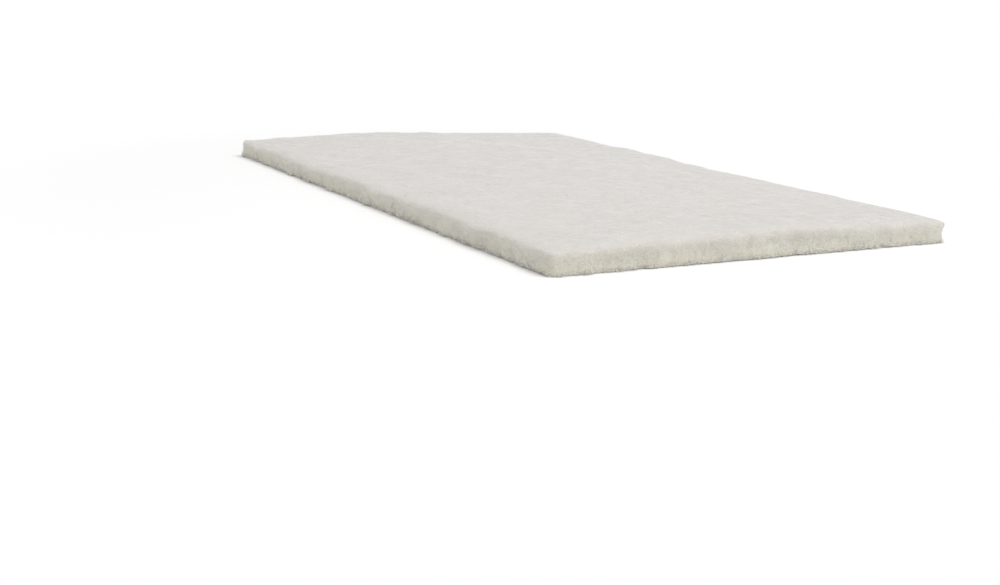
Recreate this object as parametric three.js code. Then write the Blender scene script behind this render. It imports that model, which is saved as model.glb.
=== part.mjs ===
// A nylon scouring pad: one rectangle cut from a thick, springy web of crimped nylon fibres.
// It is a single soft piece with no core and no backing, and it lies on its underside.
// Lengths are in millimetres. +Z is up, +X runs along the long sides, and the origin is
// the middle of the underside.

import * as THREE from 'three';
import { ImprovedNoise } from 'three/addons/math/ImprovedNoise.js';
import { mergeGeometries, mergeVertices } from 'three/addons/utils/BufferGeometryUtils.js';

// The cut rectangle
const padLength = 229;
const padWidth = 152;
const cornerRadius = 1.8;

// Height of the web: lowest along the long sides, highest along the middle
const edgeLoft = 7.1;
const crownRise = 1.7;

// Upper edge, rolled over softly where the knife pressed the web down: how far in from the
// cut the roll begins, and how far the web has dropped at the cut
const rollReach = 4.6;
const rollDepth = 2.3;

// Corners, where the roll is shallower and the cut stands up squarer: the share of the roll
// that is lost at the corner itself, and how far along each side that is felt
const cornerKeep = 0.6;
const cornerKeepReach = 12;

// Lower edge, with its foot drawn in a little all round
const footInset = 0.3;
const footRise = 0.35;

// Short sides, whose lower edge lifts off the table midway between the corners
const endLift = 0.35;
const endLiftReach = 6;

// Unevenness of the laid web: broad clouds of more and less fibre, with tufts over them
const cloudHeight = 0.8;
const cloudPitch = 47;
const tuftHeight = 0.65;
const tuftPitch = 13;

// Ragged cut face: how deep it wanders, how often, how far in from the cut it is felt,
// and how hollow the face is at half its height
const cutWander = 0.9;
const cutPitch = 6.5;
const cutReach = 7;
const cutHollow = 0.45;

// Fineness of the facets
const facetPitch = 3.3;
const rollSteps = 3;
const faceSteps = 5;

const halfLength = padLength / 2;
const halfWidth = padWidth / 2;
const columns = 2 * rollSteps + Math.round((padLength - 2 * rollReach) / facetPitch);
const rows = 2 * rollSteps + Math.round((padWidth - 2 * rollReach) / facetPitch);
const webNoise = new ImprovedNoise();

// Distance in from the nearer cut side of grid line i: close together over the rolled edge,
// evenly spaced on the open web
function lineInset(i, count, halfSide) {
  const steps = Math.min(i, count - i);
  if (steps < rollSteps) {
    const turn = (Math.PI / 2) * (1 - steps / rollSteps);
    return rollReach * (1 - Math.sin(turn));
  }
  return rollReach + (halfSide - rollReach) * (steps - rollSteps) / (count / 2 - rollSteps);
}

// Crown across the width: 0 along the long sides, 1 along the middle
function crownShare(y) {
  return Math.cos(Math.PI * y / padWidth);
}

// Height of the web's upper surface over the table, before its edge rolls over
function webTop(x, y) {
  const clouds = cloudHeight * webNoise.noise(x / cloudPitch, y / cloudPitch, edgeLoft);
  const tufts = tuftHeight * webNoise.noise(x / tuftPitch, y / tuftPitch, crownRise);
  return edgeLoft + crownRise * crownShare(y) + clouds + tufts;
}

// How far the rolled edge has dropped, at a distance in from the cut and a distance along it
// from the corner: a quarter of an ellipse
function rollDrop(inset, fromCorner) {
  const out = Math.max(0, 1 - inset / rollReach);
  const kept = cornerKeep * Math.max(0, 1 - fromCorner / cornerKeepReach);
  return (1 - kept) * rollDepth * (1 - Math.sqrt(1 - out ** 2));
}

// Height of the lower edge over the table; only the short sides lift
function lowerEdge(x, y) {
  const fromEnd = halfLength - Math.abs(x);
  const nearEnd = Math.max(0, 1 - fromEnd / endLiftReach);
  return footRise + endLift * nearEnd * crownShare(y) ** 2;
}

// How far the flat underside stops short of the cut face
function footReach(x, y) {
  const lift = lowerEdge(x, y) - footRise;
  return footInset + (endLift > 0 ? endLiftReach * lift / endLift : 0);
}

// How far the cut face wanders in from the true rectangle
function cutInset(x, y, z, inset, shareUp) {
  const felt = Math.max(0, 1 - inset / cutReach);
  const wander = cutWander * (0.5 + webNoise.noise(x / cutPitch, y / cutPitch, z / cutPitch));
  return felt * (wander + cutHollow * Math.sin(Math.PI * shareUp));
}

// Rounds the rectangle's corners: a square of grid lines at a corner becomes part of a disc
function roundCorner(x, y) {
  const squareX = Math.max(0, Math.abs(x) - (halfLength - cornerRadius));
  const squareY = Math.max(0, Math.abs(y) - (halfWidth - cornerRadius));
  if (squareX === 0 || squareY === 0) return [x, y];
  const shrink = Math.max(squareX, squareY) / Math.hypot(squareX, squareY);
  return [
    x - Math.sign(x) * squareX * (1 - shrink),
    y - Math.sign(y) * squareY * (1 - shrink),
  ];
}

// A point of the pad's skin from its grid lines: i along, j across, k up the cut face
function skinPoint(i, j, k) {
  const insetX = lineInset(i, columns, halfLength);
  const insetY = lineInset(j, rows, halfWidth);
  const inset = Math.min(insetX, insetY);
  const [x, y] = roundCorner(
    Math.sign(i - columns / 2) * (halfLength - insetX),
    Math.sign(j - rows / 2) * (halfWidth - insetY),
  );
  const high = webTop(x, y) - rollDrop(inset, Math.max(insetX, insetY));
  const low = lowerEdge(x, y);
  const shareUp = Math.max(0, k - 1) / (faceSteps - 1);
  const z = k === 0 ? 0 : low + (high - low) * shareUp;
  const drawnIn = cutInset(x, y, z, inset, shareUp) + (k === 0 ? footReach(x, y) : 0);
  return new THREE.Vector3(
    x * (1 - drawnIn / halfLength),
    y * (1 - drawnIn / halfWidth),
    z,
  );
}

// Upper surface and cut faces: a box's grid without its underside, with each point moved to
// its place on the skin
function makeSkin() {
  const box = new THREE.BoxGeometry(columns, rows, faceSteps, columns, rows, faceSteps);
  const underside = box.groups[5];
  box.setIndex(Array.from(box.index.array).slice(0, underside.start));
  const grid = box.attributes.position;
  for (let n = 0; n < grid.count; n++) {
    const i = Math.round(grid.getX(n) + columns / 2);
    const j = Math.round(grid.getY(n) + rows / 2);
    const k = Math.round(grid.getZ(n) + faceSteps / 2);
    const point = skinPoint(i, j, k);
    grid.setXYZ(n, point.x, point.y, point.z);
  }
  return box;
}

// Flat underside, bounded by the foot of the cut faces and facing down
function makeUnderside() {
  const foot = [];
  for (let i = 0; i < columns; i++) foot.push(skinPoint(i, 0, 0));
  for (let j = 0; j < rows; j++) foot.push(skinPoint(columns, j, 0));
  for (let i = columns; i > 0; i--) foot.push(skinPoint(i, rows, 0));
  for (let j = rows; j > 0; j--) foot.push(skinPoint(0, j, 0));
  const outline = new THREE.Shape(foot.map((point) => new THREE.Vector2(point.x, point.y)));
  const flat = new THREE.ShapeGeometry(outline);
  flat.setIndex(Array.from(flat.index.array).reverse());
  return flat;
}

// The whole pad as one closed body
function makePad() {
  const faces = [makeSkin(), makeUnderside()];
  for (const face of faces) {
    face.deleteAttribute('normal');
    face.deleteAttribute('uv');
    face.clearGroups();
  }
  const body = mergeVertices(mergeGeometries(faces), 1e-4);
  body.computeBoundingBox();
  const middle = body.boundingBox.getCenter(new THREE.Vector3());
  body.translate(-middle.x, -middle.y, 0);
  body.computeVertexNormals();
  return body;
}

// Undyed nylon fibre: warm off-white, matt
const nylonWeb = new THREE.MeshStandardMaterial({
  color: '#dcd9d2',
  roughness: 0.95,
  metalness: 0,
});

const pad = new THREE.Mesh(makePad(), nylonWeb);
pad.name = 'scouring_pad';

const scouringPad = new THREE.Group();
scouringPad.add(pad);

export default scouringPad;
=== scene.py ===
import math
import random

import bmesh
import bpy
from mathutils import Matrix, Vector, noise
from mathutils.bvhtree import BVHTree


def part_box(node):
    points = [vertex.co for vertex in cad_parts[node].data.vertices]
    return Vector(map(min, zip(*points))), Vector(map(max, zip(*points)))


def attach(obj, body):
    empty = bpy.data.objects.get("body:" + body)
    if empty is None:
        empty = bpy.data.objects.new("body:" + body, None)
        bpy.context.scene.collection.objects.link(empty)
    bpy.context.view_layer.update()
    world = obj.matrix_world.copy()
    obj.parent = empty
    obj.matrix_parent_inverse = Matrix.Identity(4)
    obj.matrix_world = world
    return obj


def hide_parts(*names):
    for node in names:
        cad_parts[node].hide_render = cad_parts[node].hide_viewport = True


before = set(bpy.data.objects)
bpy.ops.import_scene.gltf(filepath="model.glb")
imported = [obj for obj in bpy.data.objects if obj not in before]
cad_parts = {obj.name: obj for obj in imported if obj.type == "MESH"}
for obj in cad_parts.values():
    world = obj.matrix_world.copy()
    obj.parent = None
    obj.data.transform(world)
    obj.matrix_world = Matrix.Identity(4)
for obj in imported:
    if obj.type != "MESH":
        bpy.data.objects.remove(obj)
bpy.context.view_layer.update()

mm = 0.001
scene = bpy.context.scene
random.seed(11)
padLow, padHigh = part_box("scouring_pad")

# One off-white nonwoven pad, 229 x 152 mm, lying on a pale floor. The web itself is one
# soft mesh. Loose nylon strands lie on its faces, and short ones stand out of its cut sides.


def hexColour(code):
    # sRGB hex to the linear colour a shader socket wants
    channels = [int(code[i:i + 2], 16) / 255 for i in (1, 3, 5)]
    linear = [c / 12.92 if c <= 0.04045 else ((c + 0.055) / 1.055) ** 2.4 for c in channels]
    return (*linear, 1.0)


def addNode(tree, kind, settings=None, inputs=None):
    # One shader node: plain settings by name, sockets by name or number; a socket value
    # from another node becomes a link
    node = tree.nodes.new(kind)
    for name, value in (settings or {}).items():
        setattr(node, name, value)
    for name, value in (inputs or {}).items():
        if isinstance(value, bpy.types.NodeSocket):
            tree.links.new(value, node.inputs[name])
        else:
            node.inputs[name].default_value = value
    return node


def newMaterial(name):
    material = bpy.data.materials.new(name)
    material.use_nodes = True
    material.node_tree.nodes.clear()
    return material, material.node_tree


def linkObject(name, data):
    thing = bpy.data.objects.new(name, data)
    scene.collection.objects.link(thing)
    return thing


# Materials

webLook = {
    "face": "#E3DEDA",         # fibres in full light
    "paintedGapShade": "#D6D1CA",          # painted shade: the web seen down between them, darker
    "thin": "#DCD8D2",         # thinner, greyer patches of the web
    "paintedLowShade": "#DDD9CA",        # painted shade: a darker, yellower tone low on the cut sides
    "cloudPitch": 21 * mm,     # broad patches of more and less fibre
    "tuftPitch": 5 * mm,
    "tuftBump": 0.03 * mm,
    "swirlPitch": 7 * mm,      # size of the swirls that the fibres lie in
    "swirlContrast": 0.5,      # how much the noise behind them changes across one swirl
    "fibrePitch": 0.75 * mm,   # coarser than the real 0.05 mm, so that the fibres show
    "fibreHalf": 0.2,          # half a fibre's width, as a share of that pitch
    "fibreBump": 0.08 * mm,    # on the cut sides
    "pressed": 0.7,            # share of that bump on the faces, where the web was pressed
    "faintest": 0.25,          # height of a fibre where its layer fades out
    "layers": 4,
    "layerShift": (0.31, 0.17, 0.23),
    "fadeRange": (0.35, 0.6),  # noise where a layer's fibres are faintest, and where full
    "tuftShare": 0.5,          # how much the tufts count in the patches, beside the clouds
    "thickRange": (0.55, 0.95),    # the two together where the web is thinnest, and thickest
    "sideRange": (0.97, 0.3),  # rise of a face's normal where the side tone starts, and is full
    "roughness": 0.92,
}

strandLook = {
    "shade": "#F1EFEB",        # nylon filament, nearly clear, so it is whiter than the web
    "light": "#FFFEFC",
    "roughness": 0.6,
}

nylonIor = 1.53


def fibreLayer(tree, coords, layer, look):
    # One layer of crimped fibres: the contour lines of a soft noise, each a thin wandering
    # ridge, fading in and out so that the layers cross
    lines = look["swirlPitch"] / look["fibrePitch"] / look["swirlContrast"]
    moved = addNode(tree, "ShaderNodeVectorMath", {"operation": "ADD"}, {
        0: coords, 1: [layer * shift for shift in look["layerShift"]],
    }).outputs[0]
    swirl = addNode(tree, "ShaderNodeTexNoise", {}, {
        "Vector": moved, "Scale": 1 / look["swirlPitch"], "Detail": 3.0, "Roughness": 0.5,
    })
    raised = addNode(tree, "ShaderNodeMath", {"operation": "MULTIPLY"}, {
        0: swirl.outputs["Fac"], 1: lines,
    }).outputs[0]
    wave = addNode(tree, "ShaderNodeMath", {"operation": "PINGPONG"}, {
        0: raised, 1: 0.5,
    }).outputs[0]
    ridge = addNode(tree, "ShaderNodeMapRange", {"interpolation_type": "SMOOTHSTEP"}, {
        "Value": wave, "From Min": look["fibreHalf"], "From Max": 0.0,
    }).outputs[0]
    drift = addNode(tree, "ShaderNodeSeparateColor", {}, {0: swirl.outputs["Color"]}).outputs[2]
    faint, full = look["fadeRange"]
    fade = addNode(tree, "ShaderNodeMapRange", {"interpolation_type": "SMOOTHSTEP"}, {
        "Value": drift, "From Min": faint, "From Max": full, "To Min": look["faintest"],
    }).outputs[0]
    return addNode(tree, "ShaderNodeMath", {"operation": "MULTIPLY"}, {
        0: ridge, 1: fade,
    }).outputs[0]


# Nonwoven nylon: crimped fibres blown into a loose web and bonded where they cross. The eye
# sees a matt felt, softly clouded, with fine fibres every way. Darker, yellower painted shade
# lies low on the cut sides.
def nonwovenNylon():
    material, tree = newMaterial("nonwovenNylonWeb")
    look = webLook
    coords = addNode(tree, "ShaderNodeTexCoord").outputs["Object"]
    clouds = addNode(tree, "ShaderNodeTexNoise", {}, {
        "Vector": coords, "Scale": 1 / look["cloudPitch"],
        "Detail": 3.0, "Roughness": 0.5, "Distortion": 0.8,
    }).outputs["Fac"]
    tufts = addNode(tree, "ShaderNodeTexNoise", {}, {
        "Vector": coords, "Scale": 1 / look["tuftPitch"],
        "Detail": 4.0, "Roughness": 0.6, "Distortion": 1.2,
    }).outputs["Fac"]
    fibres = fibreLayer(tree, coords, 0, look)
    for layer in range(1, look["layers"]):
        above = fibreLayer(tree, coords, layer, look)
        fibres = addNode(tree, "ShaderNodeMath", {"operation": "MAXIMUM"}, {
            0: fibres, 1: above,
        }).outputs[0]

    # Fibres over painted shade in the gaps between them, in thicker and thinner patches
    patches = addNode(tree, "ShaderNodeMath", {"operation": "MULTIPLY_ADD"}, {
        0: tufts, 1: look["tuftShare"], 2: clouds,
    }).outputs[0]
    thinnest, thickest = look["thickRange"]
    thick = addNode(tree, "ShaderNodeMapRange", {}, {
        "Value": patches, "From Min": thinnest, "From Max": thickest,
    }).outputs[0]
    top = addNode(tree, "ShaderNodeMix", {"data_type": "RGBA"}, {
        0: thick, 6: hexColour(look["thin"]), 7: hexColour(look["face"]),
    }).outputs[2]
    tone = addNode(tree, "ShaderNodeMix", {"data_type": "RGBA"}, {
        0: fibres, 6: hexColour(look["paintedGapShade"]), 7: top,
    }).outputs[2]

    # Painted shade: low on the cut sides the colour turns darker and yellower
    place = addNode(tree, "ShaderNodeSeparateXYZ", {}, {0: coords})
    normal = addNode(tree, "ShaderNodeNewGeometry").outputs["Normal"]
    facing = addNode(tree, "ShaderNodeSeparateXYZ", {}, {0: normal})
    level, upright = look["sideRange"]
    sideways = addNode(tree, "ShaderNodeMapRange", {"interpolation_type": "SMOOTHSTEP"}, {
        "Value": facing.outputs[2], "From Min": level, "From Max": upright,
    }).outputs[0]
    lowDown = addNode(tree, "ShaderNodeMapRange", {"interpolation_type": "SMOOTHSTEP"}, {
        "Value": place.outputs[2], "From Min": padHigh.z, "From Max": 0.0,
    }).outputs[0]
    paintedLowShade = addNode(tree, "ShaderNodeMath", {"operation": "MULTIPLY"}, {
        0: sideways, 1: lowDown,
    }).outputs[0]
    colour = addNode(tree, "ShaderNodeMix", {"data_type": "RGBA"}, {
        0: paintedLowShade, 6: tone, 7: hexColour(look["paintedLowShade"]),
    }).outputs[2]

    lumps = addNode(tree, "ShaderNodeBump", {}, {"Distance": look["tuftBump"], "Height": tufts})
    loose = addNode(tree, "ShaderNodeMapRange", {}, {
        "Value": sideways, "To Min": look["pressed"], "To Max": 1.0,
    }).outputs[0]
    felted = addNode(tree, "ShaderNodeBump", {}, {
        "Strength": loose, "Distance": look["fibreBump"],
        "Height": fibres, "Normal": lumps.outputs[0],
    })
    shader = addNode(tree, "ShaderNodeBsdfPrincipled", {}, {
        "Base Color": colour,
        "Roughness": look["roughness"],
        "IOR": nylonIor,
        "Specular IOR Level": 0.2,
        "Sheen Weight": 0.5,
        "Sheen Roughness": 0.6,
        "Subsurface Weight": 0.45,
        "Subsurface Radius": (1.0, 0.9, 0.7),
        "Subsurface Scale": 1.8 * mm,
        "Normal": felted.outputs[0],
    })
    addNode(tree, "ShaderNodeOutputMaterial", {}, {"Surface": shader.outputs[0]})
    return material


# Drawn nylon filament: melt-spun, crimped and undyed. It is nearly clear, so light comes
# through it and it reads whiter than the web that it lies on.
def drawnNylon():
    material, tree = newMaterial("drawnNylonFilament")
    coords = addNode(tree, "ShaderNodeTexCoord").outputs["Object"]
    drift = addNode(tree, "ShaderNodeTexNoise", {}, {
        "Vector": coords, "Scale": 1 / webLook["tuftPitch"], "Detail": 1.0,
    }).outputs["Fac"]
    colour = addNode(tree, "ShaderNodeMix", {"data_type": "RGBA"}, {
        0: drift, 6: hexColour(strandLook["shade"]), 7: hexColour(strandLook["light"]),
    }).outputs[2]
    shader = addNode(tree, "ShaderNodeBsdfPrincipled", {}, {
        "Base Color": colour,
        "Roughness": strandLook["roughness"],
        "IOR": nylonIor,
        "Specular IOR Level": 0.3,
        "Sheen Weight": 0.5,
    })
    addNode(tree, "ShaderNodeOutputMaterial", {}, {"Surface": shader.outputs[0]})
    return material


webMaterial = nonwovenNylon()
strandMaterial = drawnNylon()
print("materials made")

# Web: the CAD body's own form, cut finer and felted

web = {
    "weld": 0.001 * mm,       # points of the CAD body nearer than this are joined
    "cell": 1.05 * mm,        # edge length of its facets
    "tuftPitch": 7.5 * mm,    # soft lumps of fibre
    "tuftHeight": 0.18 * mm,
    "lockPitch": 2.6 * mm,    # small locks of fibre
    "lockHeight": 0.07 * mm,
    "lockShift": Vector((5, 9, 2)),    # keeps the locks apart from the tufts
    "level": 0.87,            # a face whose normal rises more than this isn't ragged
    "ragPitch": 2.1 * mm,     # torn look of the cut sides
    "ragDepth": 0.75 * mm,
    "ragLow": 0.92,           # share of the raggedness that is only at the lower edge
    "ragTop": 0.55,           # where that share ends, as a share of the pad's height
    "underFelt": 0.4,         # share of the felting on the underside
    "hem": 1.5 * mm,          # height below which the rim settles towards the floor
    "fill": 0.6,
}


def fineCopy(node):
    # A copy of the node's closed shell, rebuilt in even facets
    shell = bmesh.new()
    shell.from_mesh(node.data)
    bmesh.ops.remove_doubles(shell, verts=shell.verts, dist=web["weld"])
    bmesh.ops.recalc_face_normals(shell, faces=shell.faces)
    mesh = bpy.data.meshes.new("webBlank")
    shell.to_mesh(mesh)
    shell.free()
    blank = linkObject("webBlank", mesh)
    remesh = blank.modifiers.new("evenFacets", "REMESH")
    remesh.mode = "VOXEL"
    remesh.voxel_size = web["cell"]
    remesh.use_smooth_shade = True
    ready = blank.evaluated_get(bpy.context.evaluated_depsgraph_get())
    fine = bpy.data.meshes.new_from_object(ready)
    bpy.data.objects.remove(blank)
    return fine


def feltPoint(place, normal):
    # How far a point of the web moves out along its normal
    side = 1 - min(1.0, abs(normal.z) / web["level"])
    tuft = noise.noise(place / web["tuftPitch"]) * web["tuftHeight"]
    lock = noise.noise(place / web["lockPitch"] + web["lockShift"]) * web["lockHeight"]
    lowness = max(0.0, 1 - place.z / (padHigh.z * web["ragTop"]))
    rag = noise.turbulence(place / web["ragPitch"], 2, True) * web["ragDepth"] * side
    move = tuft + lock + rag * (1 - web["ragLow"] + web["ragLow"] * lowness)
    if normal.z < -web["level"] and place.z < web["cell"]:
        return min(0.0, move * web["underFelt"])    # the underside stays on the floor
    return move


def makeWeb():
    mesh = fineCopy(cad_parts["scouring_pad"])
    felt = bmesh.new()
    felt.from_mesh(mesh)
    felt.normal_update()
    for vert in felt.verts:
        vert.co += vert.normal * feltPoint(vert.co, vert.normal)
        vert.co.z = max(0.0, vert.co.z)
        vert.co.z *= min(1.0, vert.co.z / web["hem"]) ** 2
    for face in felt.faces:
        face.smooth = True
    bmesh.ops.recalc_face_normals(felt, faces=felt.faces)
    felt.to_mesh(mesh)
    felt.free()
    mesh.materials.clear()
    mesh.materials.append(webMaterial)
    pad = linkObject("nonwovenWeb", mesh)
    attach(pad, "root")
    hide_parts("scouring_pad")
    print("web:", len(mesh.polygons), "faces")
    return pad


pad = makeWeb()
webSurface = BVHTree.FromObject(pad, bpy.context.evaluated_depsgraph_get())

# Strands: crimped filaments drawn as thin three-sided tubes

strandWeld = 0.0001 * mm      # a tube's caps are joined to its wall within this


def anyWay():
    return Vector([random.uniform(-1, 1) for _ in range(3)])


def strandSection(radius):
    # Cross-section shared by every strand of a piece
    curve = bpy.data.curves.new("strandSection", "CURVE")
    curve.dimensions = "2D"
    spline = curve.splines.new("POLY")
    spline.points.add(2)
    for point, degrees in zip(spline.points, (90, 210, 330)):
        turn = math.radians(degrees)
        point.co = (radius * math.cos(turn), radius * math.sin(turn), 0, 1)
    spline.use_cyclic_u = True
    return linkObject("strandSection", curve)


def strandPiece(name, paths, setup):
    # All the paths of one piece as closed tubes in one mesh
    section = strandSection(setup["radius"])
    curve = bpy.data.curves.new(name, "CURVE")
    curve.dimensions = "3D"
    curve.bevel_mode = "OBJECT"
    curve.bevel_object = section
    curve.use_fill_caps = True
    for path in paths:
        spline = curve.splines.new("POLY")
        spline.points.add(len(path) - 1)
        for point, place in zip(spline.points, path):
            point.co = (*place, 1)
    holder = linkObject(name + "Curve", curve)
    ready = holder.evaluated_get(bpy.context.evaluated_depsgraph_get())
    mesh = bpy.data.meshes.new_from_object(ready)
    bpy.data.objects.remove(holder)
    bpy.data.objects.remove(section)
    tubes = bmesh.new()
    tubes.from_mesh(mesh)
    bmesh.ops.remove_doubles(tubes, verts=tubes.verts, dist=strandWeld)
    bmesh.ops.recalc_face_normals(tubes, faces=tubes.faces)
    tubes.to_mesh(mesh)
    tubes.free()
    mesh.materials.clear()
    mesh.materials.append(strandMaterial)
    piece = linkObject(name, mesh)
    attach(piece, "root")
    mesh.calc_loop_triangles()
    print(name + ":", len(paths), "strands,", len(mesh.loop_triangles), "triangles")
    return piece


# Strands lying on the web, all over it, in three like pieces
laidStrands = {
    "count": 5000,            # in each piece
    "step": 1.7 * mm,
    "steps": 5,
    "radius": 0.035 * mm,
    "bend": 0.85,             # most that a strand turns in one step, in radians
    "wander": 0.4,            # share of that turn that changes at each step
    "rise": 0.04 * mm,        # height over the web at mid-length
    "least": 0.2,             # smallest share of its rise and of its curl that a strand has
    "loopShare": 0.06,        # share of the strands that stand up in a loop
    "loopRise": 0.35 * mm,
    "sunk": 0.8,              # how deep a strand's ends lie, in radii
    "underShare": 0.3,        # how thickly the underside is laid, against the other faces
}


def webStarts(setup):
    # Points spread over the whole web, with the surface's direction at each
    faces = pad.data.polygons
    weights = [setup["underShare"] if face.normal.z < -web["level"] else 1.0 for face in faces]
    chosen = random.choices(faces, weights, k=setup["count"])
    return [(face.center.copy(), face.normal.copy()) for face in chosen]


def laidPath(setup, start):
    # A strand lying on the web from one of its points, following the surface wherever it turns
    place, normal = start
    heading = normal.cross(anyWay()).normalized()
    curl = random.uniform(-1, 1) * setup["bend"]
    rise = setup["loopRise"] if random.random() < setup["loopShare"] else setup["rise"]
    rise *= random.uniform(setup["least"], 1.0)
    path = []
    for k in range(setup["steps"] + 1):
        arch = math.sin(math.pi * k / setup["steps"])
        point = place + normal * (rise * arch - setup["radius"] * setup["sunk"])
        point.z = max(point.z, setup["radius"])
        path.append(point)
        bend = curl * random.uniform(setup["least"], 1.0)
        bend += random.uniform(-1, 1) * setup["bend"] * setup["wander"]
        heading = Matrix.Rotation(bend, 3, normal) @ heading
        place, normal, _, _ = webSurface.find_nearest(place + heading * setup["step"])
        heading = (heading - normal * heading.dot(normal)).normalized()
    return path


def layStrands(name, setup):
    paths = [laidPath(setup, start) for start in webStarts(setup)]
    return strandPiece(name, paths, setup)


for letter in "ABC":
    layStrands("laidStrands" + letter, laidStrands)

# Fringe: tufts of cut ends along the lower edge of the cut sides
fringeStrands = {
    "count": 7600,
    "step": 0.36 * mm,
    "steps": 4,
    "radius": 0.055 * mm,
    "bend": 0.8,
    "root": 0.25 * mm,        # how deep a strand starts inside the web
    "out": 0.6,               # how straight out of the cut it grows
    "stray": 2,               # weight of its own direction beside that
    "shortest": 0.35,         # length of the shortest strand, as a share of the longest
    "droop": 0.05,
    "hang": 0.7 * mm,         # how far below its root a strand may hang
    "tuft": 6,                # strands that share one root
    "tuftSpread": 0.45 * mm,
    "heights": (0.15 * mm, 1.3 * mm),
    "searchFrom": 5 * mm,     # how far outside the pad the way in to the cut begins
}

# Fuzz: finer and shorter ends over the rest of the cut sides
fuzzStrands = {
    **fringeStrands,
    "step": 0.32 * mm,
    "steps": 3,
    "radius": 0.035 * mm,
    "bend": 1.0,
    "out": 0.45,
    "droop": 0.0,
    "tuft": 2,
    "heights": (1.0 * mm, 6.5 * mm),
}


def sideRoot(setup):
    # A random point of the cut sides, with the way out of the cut there
    length = padHigh.x - padLow.x
    width = padHigh.y - padLow.y
    x = random.uniform(padLow.x, padHigh.x)
    y = random.uniform(padLow.y, padHigh.y)
    z = random.uniform(*setup["heights"])
    sides = (
        (Vector((x, padLow.y, z)), Vector((0, -1, 0))),
        (Vector((x, padHigh.y, z)), Vector((0, 1, 0))),
        (Vector((padLow.x, y, z)), Vector((-1, 0, 0))),
        (Vector((padHigh.x, y, z)), Vector((1, 0, 0))),
    )
    spot, outward = random.choices(sides, (length, length, width, width))[0]
    root, _, _, _ = webSurface.ray_cast(spot + outward * setup["searchFrom"], -outward)
    return root, outward


def fringePath(setup, root, outward):
    # A short strand springing out of the cut, curling as it goes
    drift = anyWay()
    heading = (outward * setup["out"] + drift * (1 - setup["out"]) * setup["stray"]).normalized()
    turn = Matrix.Rotation(random.uniform(-1, 1) * setup["bend"], 3, anyWay().normalized())
    step = setup["step"] * random.uniform(setup["shortest"], 1.0)
    place = root + drift * setup["tuftSpread"] - outward * setup["root"]
    lowest = max(setup["radius"], root.z - setup["hang"])
    place.z = max(place.z, lowest)
    path = [place.copy()]
    for _ in range(setup["steps"]):
        heading = (turn @ heading - Vector((0, 0, setup["droop"]))).normalized()
        place = place + heading * step
        place.z = max(place.z, lowest)
        path.append(place.copy())
    return path


def growFringe(name, setup):
    paths = []
    while len(paths) < setup["count"]:
        root, outward = sideRoot(setup)
        if root is not None:
            paths += [fringePath(setup, root, outward) for _ in range(setup["tuft"])]
    return strandPiece(name, paths, setup)


growFringe("cutFringe", fringeStrands)
growFringe("cutFuzz", fuzzStrands)

# Floor, light and camera

stage = {
    "floorSize": 14.0,
    "floorDrop": 0.05 * mm,       # keeps the floor just clear of the underside
    "floorColour": "#FFFFFF",
    "bounceColour": "#F8F7F3",    # what the floor sends back up to the pad
    "nearRadius": 0.13,
    "farRadius": 0.22,            # past this the floor is plain white
    "worldLight": 0.62,
    "keyPower": 15.0,
    "keySize": 1.1,
    "keyPlace": (0.6, 0.5, 1.55),
}


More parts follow.
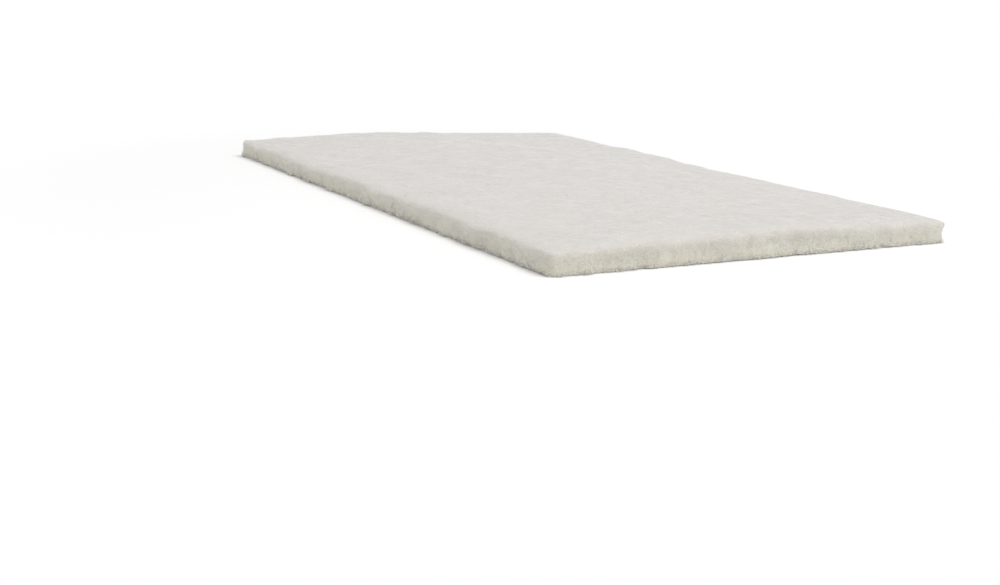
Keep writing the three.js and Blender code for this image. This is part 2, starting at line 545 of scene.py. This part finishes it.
def makeFloor():
    form = bmesh.new()
    bmesh.ops.create_grid(form, x_segments=1, y_segments=1, size=stage["floorSize"] / 2)
    bmesh.ops.translate(form, verts=form.verts, vec=(0, 0, -stage["floorDrop"]))
    mesh = bpy.data.meshes.new("floor")
    form.to_mesh(mesh)
    form.free()
    floor = linkObject("floor", mesh)
    material, tree = newMaterial("paleFloor")
    rays = addNode(tree, "ShaderNodeLightPath")
    coords = addNode(tree, "ShaderNodeTexCoord").outputs["Object"]
    radius = addNode(tree, "ShaderNodeVectorMath", {"operation": "LENGTH"}, {
        0: coords,
    }).outputs["Value"]
    far = addNode(tree, "ShaderNodeMapRange", {"interpolation_type": "SMOOTHSTEP"}, {
        "Value": radius, "From Min": stage["nearRadius"], "From Max": stage["farRadius"],
    }).outputs[0]
    colour = addNode(tree, "ShaderNodeMix", {"data_type": "RGBA"}, {
        0: rays.outputs["Is Camera Ray"],
        6: hexColour(stage["bounceColour"]), 7: hexColour(stage["floorColour"]),
    }).outputs[2]
    matt = addNode(tree, "ShaderNodeBsdfDiffuse", {}, {"Color": colour})
    white = addNode(tree, "ShaderNodeEmission", {}, {"Color": (1, 1, 1, 1), "Strength": 1.0})
    seenFar = addNode(tree, "ShaderNodeMath", {"operation": "MULTIPLY"}, {
        0: far, 1: rays.outputs["Is Camera Ray"],
    }).outputs[0]
    both = addNode(tree, "ShaderNodeMixShader", {}, {
        0: seenFar, 1: matt.outputs[0], 2: white.outputs[0],
    })
    addNode(tree, "ShaderNodeOutputMaterial", {}, {"Surface": both.outputs[0]})
    mesh.materials.append(material)


def makeWorld():
    world = bpy.data.worlds.new("studio")
    scene.world = world
    world.use_nodes = True
    tree = world.node_tree
    tree.nodes.clear()
    seen = addNode(tree, "ShaderNodeLightPath").outputs["Is Camera Ray"]
    soft = addNode(tree, "ShaderNodeBackground", {}, {
        "Color": (1, 1, 1, 1), "Strength": stage["worldLight"],
    })
    white = addNode(tree, "ShaderNodeBackground", {}, {"Color": (1, 1, 1, 1), "Strength": 1.0})
    both = addNode(tree, "ShaderNodeMixShader", {}, {
        0: seen, 1: soft.outputs[0], 2: white.outputs[0],
    })
    addNode(tree, "ShaderNodeOutputWorld", {}, {"Surface": both.outputs[0]})


def makeKey():
    lamp = bpy.data.lights.new("key", "AREA")
    lamp.energy = stage["keyPower"]
    lamp.shape = "SQUARE"
    lamp.size = stage["keySize"]
    key = linkObject("key", lamp)
    place = Vector(stage["keyPlace"])
    aim = place.to_track_quat("Z", "Y").to_matrix().to_4x4()    # it shines at the origin
    key.matrix_world = Matrix.Translation(place) @ aim


# The camera stands low off the pad's near corner, as the photograph's did
view = {
    "place": (387 * mm, -259 * mm, 75 * mm),
    "heading": 148.3,         # degrees from +X
    "down": 13.6,
    "roll": 2.9,
    "lens": 46.7,
    "sensor": 36.0,
    "nearest": 10 * mm,       # what it can see begins and ends here
    "farthest": 50.0,
}


def makeCamera():
    data = bpy.data.cameras.new("camera")
    data.sensor_width = view["sensor"]
    data.lens = view["lens"]
    data.clip_start = view["nearest"]
    data.clip_end = view["farthest"]
    camera = linkObject("camera", data)
    turn = Matrix.Rotation(math.radians(view["heading"] - 90), 4, "Z")
    tip = Matrix.Rotation(math.radians(90 - view["down"]), 4, "X")
    lean = Matrix.Rotation(math.radians(view["roll"]), 4, "Z")
    camera.matrix_world = Matrix.Translation(Vector(view["place"])) @ turn @ tip @ lean
    scene.camera = camera


makeFloor()
makeWorld()
makeKey()
makeCamera()
scene.view_settings.view_transform = "Standard"
print("stage set")
